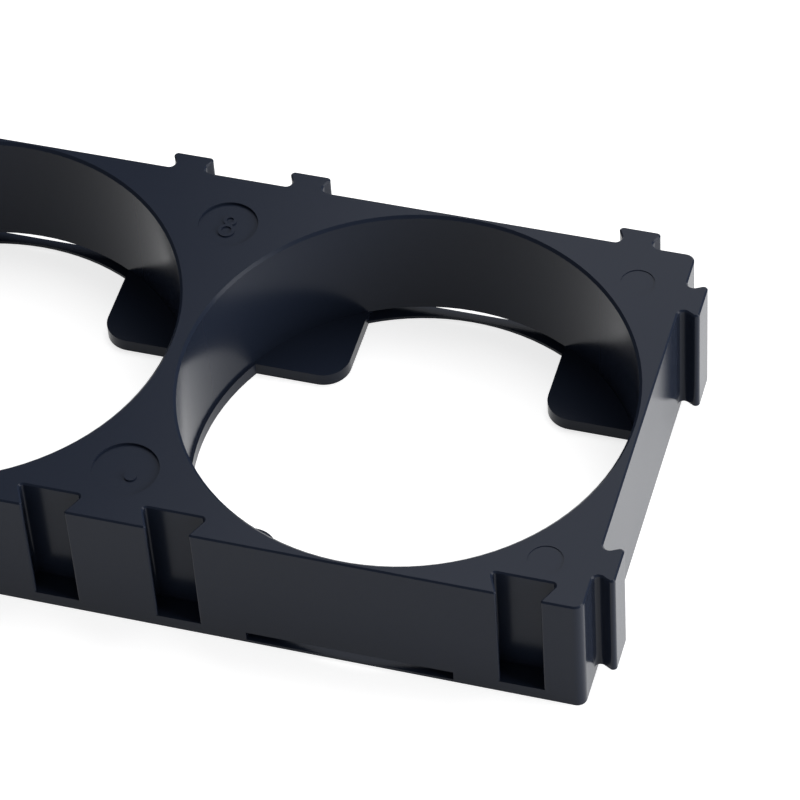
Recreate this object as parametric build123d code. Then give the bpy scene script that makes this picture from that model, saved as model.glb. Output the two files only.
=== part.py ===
from build123d import *
import os

# Battery cell holder bracket: one moulded piece that spaces two round cells
# side by side. Millimetres, +Z up. The origin is the bottom centre of the
# bounding box, the cells stand along Z and the row of cells runs along X.

# Cells and block
cell_diameter = 32.2        # 32 mm class cell with its sleeve
cell_clearance = 0.15       # radial, between cell and bore
cell_pitch = 33.8           # centre to centre, also from one bracket to the next
block_width = 33.4          # front to back
block_height = 10.7
end_relief = 0.1            # joined brackets never touch wall to wall
corner_radius = 0.7         # vertical corners of the block

# Base: a cross-shaped window under each cell leaves four lips in its corners
base_thickness = 1.05       # a cell stands on lips of this thickness
seat_ledge = 0.2            # how far the base stands in from the bore all round
window_width = 15.0         # width of each arm of the cross
lip_tip_radius = 2.0

# Slots in the long walls, between the lips, for the connecting strips
strip_slot_foot = 0.25      # the wall is closed below this height
strip_slot_top = base_thickness

# Dovetail joint between brackets
joint_offset = 12.4         # from the cell's axis to each dovetail
key_root = 1.8              # width of a male key where it leaves the wall
key_tip = 3.4               # width of a male key at its outer face
key_reach = 1.55
slot_mouth = 2.95           # width of a female slot at the wall's face
slot_floor = 4.7            # width of a female slot at its deepest
slot_depth = 1.8
key_tip_radius = 0.3
key_root_radius = 0.45
slot_lip_radius = 0.15
slot_corner_radius = 0.25

# Edge breaks
bore_edge = 0.2             # bevel at the mouth of each bore
top_edge = 0.12             # bevel around the top face

# Marks of the mould on the top face
number_recess = 4.4         # diameter of the recess round the cavity number
gate_recess = 4.8           # diameter of the recess round the gate
recess_depth = 0.2
recess_offset = 12.0        # from the web's centre, towards front and back
ejector_mark = 2.5
ejector_depth = 0.06
ejector_offset_x = 13.4     # from the cell's axis
ejector_offset_y = 13.1

bore_radius = cell_diameter / 2 + cell_clearance
block_length = 2 * cell_pitch - end_relief
half_length = block_length / 2
half_width = block_width / 2
cells = [-cell_pitch / 2, cell_pitch / 2]
wall_height = block_height - base_thickness


def rounded(sketch, spots, radius):
    """Round the sketch's corners that lie on the given spots."""
    corners = [v for v in sketch.vertices()
               if any(abs(v.X - x) < 1e-3 and abs(v.Y - y) < 1e-3 for x, y in spots)]
    return fillet(corners, radius)


def key_outline():
    """A male key on a wall along X: it stands out towards +Y."""
    return Polygon((-key_root / 2, -0.5), (key_root / 2, -0.5), (key_root / 2, 0),
                   (key_tip / 2, key_reach), (-key_tip / 2, key_reach),
                   (-key_root / 2, 0), align=None)


def slot_outline():
    """A female slot in a wall along X: it reaches in towards +Y."""
    return Polygon((-slot_mouth / 2, -0.5), (slot_mouth / 2, -0.5), (slot_mouth / 2, 0),
                   (slot_floor / 2, slot_depth), (-slot_floor / 2, slot_depth),
                   (-slot_mouth / 2, 0), align=None)


# Where the dovetails sit: (x, y, turn) carries the outline's wall onto its own
back_keys = [(c + s * joint_offset, half_width, 0) for c in cells for s in (-1, 1)]
end_keys = [(half_length, s * joint_offset, -90) for s in (-1, 1)]
front_slots = [(c + s * joint_offset, -half_width, 0) for c in cells for s in (-1, 1)]
end_slots = [(-half_length, s * joint_offset, -90) for s in (-1, 1)]


def on_wall(places, points):
    """Carry points of an outline to every place it is used."""
    found = []
    for x, y, turn in places:
        for px, py in points:
            found.append((x + px, y + py) if turn == 0 else (x + py, y - px))
    return found


footprint = Rectangle(block_length, block_width)
footprint = rounded(footprint, [(a * half_length, b * half_width)
                                for a in (-1, 1) for b in (-1, 1)], corner_radius)

# Wall section above the base: footprint, plus keys, minus slots
section = footprint
for x, y, turn in back_keys + end_keys:
    section += Pos(x, y) * Rot(0, 0, turn) * key_outline()
for x, y, turn in front_slots + end_slots:
    section -= Pos(x, y) * Rot(0, 0, turn) * slot_outline()
section = rounded(section, on_wall(back_keys + end_keys, [
    (-key_tip / 2, key_reach), (key_tip / 2, key_reach)]), key_tip_radius)
section = rounded(section, on_wall(back_keys + end_keys, [
    (-key_root / 2, 0), (key_root / 2, 0)]), key_root_radius)
section = rounded(section, on_wall(front_slots + end_slots, [
    (-slot_mouth / 2, 0), (slot_mouth / 2, 0)]), slot_lip_radius)
section = rounded(section, on_wall(front_slots + end_slots, [
    (-slot_floor / 2, slot_depth), (slot_floor / 2, slot_depth)]), slot_corner_radius)

walls = Pos(0, 0, base_thickness) * extrude(section, wall_height)
top_rim = walls.faces().sort_by(Axis.Z)[-1].outer_wire().edges()
walls = chamfer(top_rim, top_edge)

# Bores, bevelled at the mouth
for c in cells:
    walls -= Pos(c, 0, block_height / 2) * Cylinder(bore_radius, 2 * block_height)
mouths = [e for e in walls.edges().filter_by(GeomType.CIRCLE)
          if abs(e.radius - bore_radius) < 1e-3
          and abs(e.center(CenterOf.BOUNDING_BOX).Z - block_height) < 1e-3]
walls = chamfer(mouths, bore_edge)

# Base: the footprint with a cross-shaped window inside each bore
base_plan = footprint
for c in cells:
    cross = Rectangle(2 * bore_radius, window_width) + Rectangle(window_width, 2 * bore_radius)
    cross = rounded(cross, [(a * window_width / 2, b * window_width / 2)
                            for a in (-1, 1) for b in (-1, 1)], lip_tip_radius)
    base_plan -= Pos(c, 0) * (cross & Circle(bore_radius - seat_ledge))
base = extrude(base_plan, base_thickness)

body = walls + base

# Strip slots through both long walls
slot_height = strip_slot_top - strip_slot_foot
for c in cells:
    for side in (-1, 1):
        body -= (Pos(c, side * half_width, strip_slot_foot + slot_height / 2)
                 * Box(window_width, 2 * (half_width - window_width / 2 - lip_tip_radius),
                       slot_height))

# Mould marks on the top face
for y, diameter in ((recess_offset, number_recess), (-recess_offset, gate_recess)):
    body -= Pos(0, y, block_height - recess_depth / 2) * Cylinder(diameter / 2, recess_depth)
for c, side in zip(cells, (-1, 1)):
    for front in (-1, 1):
        body -= (Pos(c + side * ejector_offset_x, front * ejector_offset_y,
                     block_height - ejector_depth / 2)
                 * Cylinder(ejector_mark / 2, ejector_depth))

# Cavity number: an 8 drawn as two rings, raised inside its recess
number_floor = block_height - recess_depth
for y, ring in ((-0.5, 0.62), (0.52, 0.5)):
    numeral = Cylinder(ring, 0.12) - Cylinder(ring - 0.24, 0.12)
    body += Pos(0, recess_offset + y, number_floor + 0.05) * numeral

# Gate scar: the trimmed stub in the middle of its recess
body += Pos(0.5, -recess_offset - 0.4, number_floor + 0.05) * Cylinder(0.45, 0.14)

# Frame: bottom centre of the bounding box
holder_bracket = Pos(-key_reach / 2, -key_reach / 2, 0) * body
holder_bracket.label = "holder_bracket"

os.makedirs("parts", exist_ok=True)
export_step(holder_bracket, "parts/holder_bracket.step")
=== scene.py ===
import math

import bpy
from mathutils import Euler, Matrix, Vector

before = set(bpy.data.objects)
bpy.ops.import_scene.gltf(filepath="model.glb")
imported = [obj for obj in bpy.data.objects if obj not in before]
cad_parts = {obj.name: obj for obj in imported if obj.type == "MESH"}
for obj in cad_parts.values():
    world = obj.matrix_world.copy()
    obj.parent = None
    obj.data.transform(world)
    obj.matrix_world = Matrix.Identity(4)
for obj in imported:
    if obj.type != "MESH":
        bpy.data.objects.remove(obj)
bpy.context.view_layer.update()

# --------------------------------------------------------------------- finish
PLASTIC_COLOUR = (0.017, 0.023, 0.04, 1)
PLASTIC_SHEEN = 0.1          # Specular IOR Level
SMOOTHEST = 0.17             # roughness where the waviness is lowest
ROUGHNESS_SPREAD = 0.08
WAVE_SCALE = 60.0            # tool waviness, per metre
WAVE_HEIGHT = 0.0005
WAVE_STRENGTH = 0.05

# ---------------------------------------------------------------------- stage
FLOOR_SIZE = 6
FLOOR_COLOUR = (0.82, 0.82, 0.82, 1)
FLOOR_GLOW = 0.75            # seen by camera and reflections, lights nothing
WHITE = (1, 1, 1, 1)
SKY_STRENGTH = 0.15
SOFTBOXES = (                # name, place, size in metres, power in watts
    ("overhead", (0.05, 0.25, 0.45), 0.4, 1.4),
    ("right_side", (0.5, 0.0, 0.18), 0.3, 2.0),
)
LIT_POINT = (0, 0, 0)

# --------------------------------------------------------------------- camera
CAMERA_PLACE = (0.08146, -0.19176, 0.23758)
CAMERA_TURN = (41.379, 2.886, 15.779)     # degrees about X, Y and Z
CAMERA_LENS = 195.1
CAMERA_SENSOR = 36
CAMERA_REACH = (0.01, 20)


# ------------------------------------------------------------- shader wiring
class Value:
    """A number that a node works out; sums on it add Math nodes."""

    def __init__(self, finish, socket):
        self.finish = finish
        self.socket = socket

    def math(self, operation, *others):
        return self.finish.node("ShaderNodeMath", {"operation": operation},
                                dict(enumerate((self,) + others)))

    def __add__(self, other):
        return self.math("ADD", other)

    __radd__ = __add__

    def __mul__(self, other):
        return self.math("MULTIPLY", other)

    __rmul__ = __mul__


class Finish:
    """One material and the nodes that make it."""

    def __init__(self, name):
        self.material = bpy.data.materials.new(name)
        self.material.use_nodes = True
        self.tree = self.material.node_tree
        self.tree.nodes.clear()
        self.output = self.tree.nodes.new("ShaderNodeOutputMaterial")

    def node(self, kind, settings=None, sockets=None, out=0):
        """Adds a node; settings come first, then values or links of its sockets."""
        made = self.tree.nodes.new(kind)
        for name, value in (settings or {}).items():
            setattr(made, name, value)
        for name, value in (sockets or {}).items():
            if isinstance(value, Value):
                self.tree.links.new(value.socket, made.inputs[name])
            else:
                made.inputs[name].default_value = value
        return Value(self, made.outputs[out])

    def show(self, shader):
        self.tree.links.new(shader.socket, self.output.inputs["Surface"])


# ------------------------------------------------------------ moulded plastic
def moulded_plastic():
    """Dark blue-black moulding: smooth and glossy, with a slight waviness left by the tool."""
    f = Finish("moulded_plastic")
    place = f.node("ShaderNodeTexCoord", out="Object")
    broad = f.node("ShaderNodeTexNoise", {},
                   {"Vector": place, "Scale": WAVE_SCALE, "Detail": 1.0})
    bump = f.node("ShaderNodeBump", {},
                  {"Height": broad, "Strength": WAVE_STRENGTH, "Distance": WAVE_HEIGHT},
                  out="Normal")
    f.show(f.node("ShaderNodeBsdfPrincipled", {},
                  {"Base Color": PLASTIC_COLOUR,
                   "Roughness": SMOOTHEST + ROUGHNESS_SPREAD * broad,
                   "Normal": bump, "Specular IOR Level": PLASTIC_SHEEN}))
    return f.material


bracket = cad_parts["holder_bracket"]
bracket.data.materials.clear()
bracket.data.materials.append(moulded_plastic())


# ------------------------------------------------------------------ the stage
def white_sheet():
    """Matt white; the camera and reflections see it as plain white, and it keeps the shadow."""
    f = Finish("white_sheet")
    lit = f.node("ShaderNodeBsdfDiffuse", {}, {"Color": FLOOR_COLOUR})
    glow = f.node("ShaderNodeEmission", {}, {"Color": WHITE, "Strength": FLOOR_GLOW})
    seen = (f.node("ShaderNodeLightPath", out="Is Camera Ray")
            + f.node("ShaderNodeLightPath", out="Is Glossy Ray")
            + f.node("ShaderNodeLightPath", out="Is Transmission Ray"))
    both = f.node("ShaderNodeAddShader", {}, {0: lit, 1: glow})
    f.show(f.node("ShaderNodeMixShader", {}, {"Fac": seen, 1: lit, 2: both}))
    return f.material


def world_light():
    """Soft, even daylight from all round."""
    world = bpy.data.worlds.new("studio")
    bpy.context.scene.world = world
    world.use_nodes = True
    sky = world.node_tree.nodes["Background"]
    sky.inputs["Color"].default_value = WHITE
    sky.inputs["Strength"].default_value = SKY_STRENGTH


def soft_light(name, place, size, power):
    """A square softbox at place that faces the bracket."""
    lamp = bpy.data.lights.new(name, "AREA")
    lamp.shape = "SQUARE"
    lamp.size = size
    lamp.energy = power
    holder = bpy.data.objects.new(name, lamp)
    bpy.context.scene.collection.objects.link(holder)
    holder.location = place
    facing = Vector(LIT_POINT) - Vector(place)
    holder.rotation_euler = facing.to_track_quat("-Z", "Y").to_euler()


bpy.ops.object.select_all(action="DESELECT")
bpy.ops.mesh.primitive_plane_add(size=FLOOR_SIZE, location=(0, 0, 0))
floor = bpy.context.active_object
floor.name = "floor"
floor.data.materials.append(white_sheet())

world_light()
for softbox in SOFTBOXES:
    soft_light(*softbox)

# ----------------------------------------------------------------- the camera
camera = bpy.data.objects.new("camera", bpy.data.cameras.new("camera"))
bpy.context.scene.collection.objects.link(camera)
camera.location = CAMERA_PLACE
camera.rotation_euler = Euler([math.radians(a) for a in CAMERA_TURN])
camera.data.lens = CAMERA_LENS
camera.data.sensor_width = CAMERA_SENSOR
camera.data.clip_start, camera.data.clip_end = CAMERA_REACH
bpy.context.scene.camera = camera

bpy.context.scene.view_settings.view_transform = "Standard"
